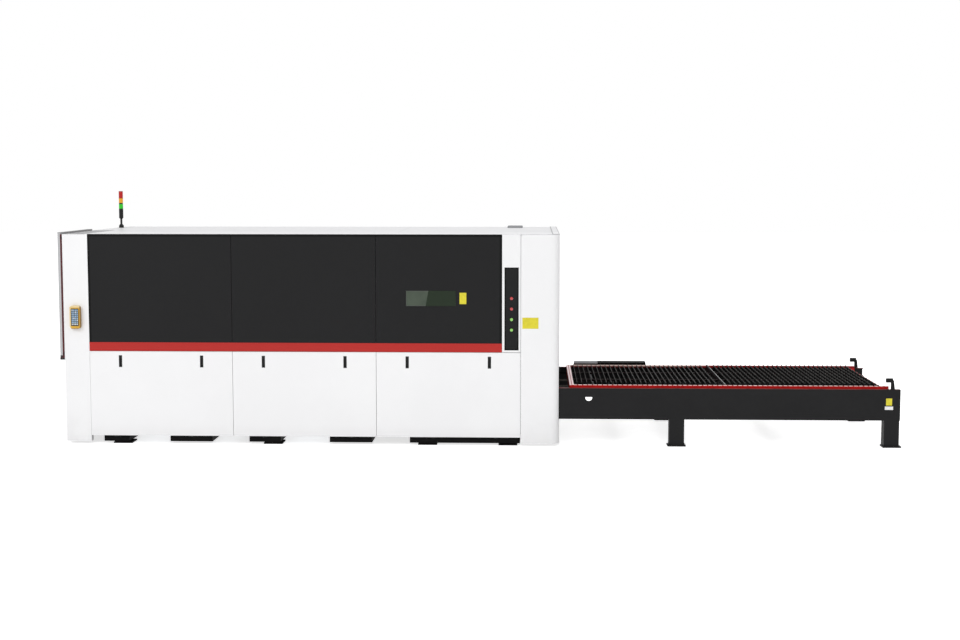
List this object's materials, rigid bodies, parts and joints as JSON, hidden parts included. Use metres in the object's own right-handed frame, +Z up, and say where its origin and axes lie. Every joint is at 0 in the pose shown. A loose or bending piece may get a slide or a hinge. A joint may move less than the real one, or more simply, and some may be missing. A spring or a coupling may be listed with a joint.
{
  "type": "fiber laser cutting machine",
  "caption": "Enclosed flat-bed laser cutter with a travelling gantry, a lifting gate and a two-level exchange table carrying slatted shuttle pallets.",
  "frame": {"origin": "middle of the machine's footprint, on the floor", "axes": "+X along the machine towards the exchange table, +Y from the operator's front to the back, +Z up"},
  "size_m": [8.43, 2.582, 2.532],
  "materials": {
    "white_paint": "satin",
    "grey_paint": "satin",
    "dark_red_paint": "satin",
    "charcoal_paint": "fine texture",
    "red_paint": "satin",
    "laser_glass": "polished",
    "black_paint": "fine texture",
    "gate_paint": "satin",
    "black_plastic": "fine texture",
    "red_plastic": "polished",
    "green_plastic": "polished",
    "amber_plastic": "polished",
    "yellow_plastic": "satin",
    "galvanised_sheet": "dull",
    "slat_steel": "dark, scaled",
    "bright_steel": "ground",
    "wheel_steel": "turned",
    "gantry_aluminium": "satin",
    "anodised": "anodised"
  },
  "bodies": {
    "machine": {"left_column": "white_paint", "left_side_wall": "white_paint", "front_panel_left": "charcoal_paint", "front_panel_middle": "charcoal_paint", "front_panel_right": "charcoal_paint", "viewing_window": "laser_glass", "front_red_band": "red_paint", "indicator_column": "white_paint", "indicator_panel": "charcoal_paint", "portal_casing": "white_paint", "gate_guides": "gate_paint", "rear_panels": "white_paint", "extraction_port": "galvanised_sheet", "roof_panel": "grey_paint", "roof_cable_box": "grey_paint", "bed_side_beams": "black_paint", "bed_cross_beams": "black_paint", "levelling_feet": "black_paint", "scrap_trays": "galvanised_sheet", "table_side_near": "charcoal_paint", "table_side_far": "charcoal_paint", "table_legs": "charcoal_paint", "table_cross_ties": "charcoal_paint", "exchange_drive_cover": "charcoal_paint", "end_stops": "charcoal_paint", "exchange_chains": "bright_steel", "gantry_rails": "bright_steel", "stack_light_body": "black_plastic", "stack_light_green": "green_plastic", "stack_light_amber": "amber_plastic", "stack_light_red": "red_plastic", "pendant_body": "yellow_plastic", "pendant_keypad": "black_plastic"},
    "side_door": {"side_door_inner": "dark_red_paint", "side_door_skin": "grey_paint"},
    "door_left": {"front_door_left": "white_paint", "door_pulls_left": "black_plastic"},
    "door_middle": {"front_door_middle": "white_paint", "door_pulls_middle": "black_plastic"},
    "door_right": {"front_door_right": "white_paint", "door_pulls_right": "black_plastic"},
    "gate": {"gate": "gate_paint"},
    "button_gl": {"button_green_lower": "green_plastic"},
    "button_gu": {"button_green_upper": "green_plastic"},
    "button_rl": {"button_red_lower": "red_plastic"},
    "button_ru": {"button_red_upper": "red_plastic"},
    "gantry": {"gantry_beam": "gantry_aluminium"},
    "carriage": {"head_carriage": "anodised"},
    "head": {"head_slide": "bright_steel", "cutting_head": "anodised"},
    "upper_pallet": {"upper_pallet_frame": "red_paint", "upper_pallet_slats": "slat_steel"},
    "lower_pallet": {"lower_pallet_frame": "red_paint", "lower_pallet_slats": "slat_steel"},
    "upper_wheelset_left": {"upper_wheels_left": "wheel_steel"},
    "upper_wheelset_right": {"upper_wheels_right": "wheel_steel"},
    "lower_wheelset_left": {"lower_wheels_left": "wheel_steel"},
    "lower_wheelset_right": {"lower_wheels_right": "wheel_steel"},
    "drive_shaft": {"drive_shaft": "bright_steel"},
    "idler_shaft": {"idler_shaft": "bright_steel"}
  },
  "joints": [
    {"name": "gantry_travel", "type": "slide", "parent": "machine", "child": "gantry", "axis": [1, 0, 0], "range_m": [0, 3.05]},
    {"name": "head_carriage_travel", "type": "slide", "parent": "gantry", "child": "carriage", "axis": [0, 1, 0], "range_m": [-0.74, 0.74]},
    {"name": "head_lift", "type": "slide", "parent": "carriage", "child": "head", "axis": [0, 0, 1], "range_m": [-0.06, 0.1]},
    {"name": "pallet_exchange", "type": "slide", "parent": "machine", "child": "upper_pallet", "axis": [-1, 0, 0], "range_m": [0, 3.9]},
    {"name": "lower_pallet_exchange", "type": "slide", "parent": "machine", "child": "lower_pallet", "axis": [1, 0, 0], "range_m": [0, 3.9]},
    {"name": "upper_wheels_left_turn", "type": "hinge", "parent": "upper_pallet", "child": "upper_wheelset_left", "pos_m": [1.177, -0.307, 0.538], "axis": [0, 1, 0], "continuous": true},
    {"name": "upper_wheels_right_turn", "type": "hinge", "parent": "upper_pallet", "child": "upper_wheelset_right", "pos_m": [3.833, -0.307, 0.538], "axis": [0, 1, 0], "continuous": true},
    {"name": "lower_wheels_left_turn", "type": "hinge", "parent": "lower_pallet", "child": "lower_wheelset_left", "pos_m": [-2.723, -0.307, 0.348], "axis": [0, 1, 0], "continuous": true},
    {"name": "lower_wheels_right_turn", "type": "hinge", "parent": "lower_pallet", "child": "lower_wheelset_right", "pos_m": [-0.067, -0.307, 0.348], "axis": [0, 1, 0], "continuous": true},
    {"name": "drive_shaft_turn", "type": "hinge", "parent": "machine", "child": "drive_shaft", "pos_m": [1.385, -0.307, 0.475], "axis": [0, 1, 0], "continuous": true},
    {"name": "idler_shaft_turn", "type": "hinge", "parent": "machine", "child": "idler_shaft", "pos_m": [-3.055, -0.307, 0.475], "axis": [0, 1, 0], "continuous": true},
    {"name": "gate_lift", "type": "slide", "parent": "machine", "child": "gate", "axis": [0, 0, -1], "range_m": [0, 0.265]},
    {"name": "front_door_left_flap", "type": "hinge", "parent": "machine", "child": "door_left", "pos_m": [-3.19167, -1.208, 0.076], "axis": [1, 0, 0], "range_deg": [0, 90]},
    {"name": "front_door_middle_flap", "type": "hinge", "parent": "machine", "child": "door_middle", "pos_m": [-1.745, -1.208, 0.076], "axis": [1, 0, 0], "range_deg": [0, 90]},
    {"name": "front_door_right_flap", "type": "hinge", "parent": "machine", "child": "door_right", "pos_m": [-0.29833, -1.208, 0.076], "axis": [1, 0, 0], "range_deg": [0, 90]},
    {"name": "side_door_slide", "type": "slide", "parent": "machine", "child": "side_door", "axis": [0, 1, 0], "range_m": [0, 1]},
    {"name": "button_green_lower_press", "type": "slide", "parent": "machine", "child": "button_gl", "axis": [0, 1, 0], "range_m": [0, 0.004], "stiffness_N_per_m": 400},
    {"name": "button_green_upper_press", "type": "slide", "parent": "machine", "child": "button_gu", "axis": [0, 1, 0], "range_m": [0, 0.004], "stiffness_N_per_m": 400},
    {"name": "button_red_lower_press", "type": "slide", "parent": "machine", "child": "button_rl", "axis": [0, 1, 0], "range_m": [0, 0.004], "stiffness_N_per_m": 400},
    {"name": "button_red_upper_press", "type": "slide", "parent": "machine", "child": "button_ru", "axis": [0, 1, 0], "range_m": [0, 0.004], "stiffness_N_per_m": 400}
  ],
  "couplings": [
    {"joint": "lower_pallet_exchange", "follows": "pallet_exchange", "ratio": 1},
    {"joint": "upper_wheels_left_turn", "follows": "pallet_exchange", "rad_per_m": -30.303},
    {"joint": "lower_wheels_left_turn", "follows": "pallet_exchange", "rad_per_m": 30.303},
    {"joint": "upper_wheels_right_turn", "follows": "pallet_exchange", "rad_per_m": -30.303},
    {"joint": "lower_wheels_right_turn", "follows": "pallet_exchange", "rad_per_m": 30.303},
    {"joint": "drive_shaft_turn", "follows": "pallet_exchange", "rad_per_m": -32.607},
    {"joint": "idler_shaft_turn", "follows": "pallet_exchange", "rad_per_m": -32.607}
  ]
}
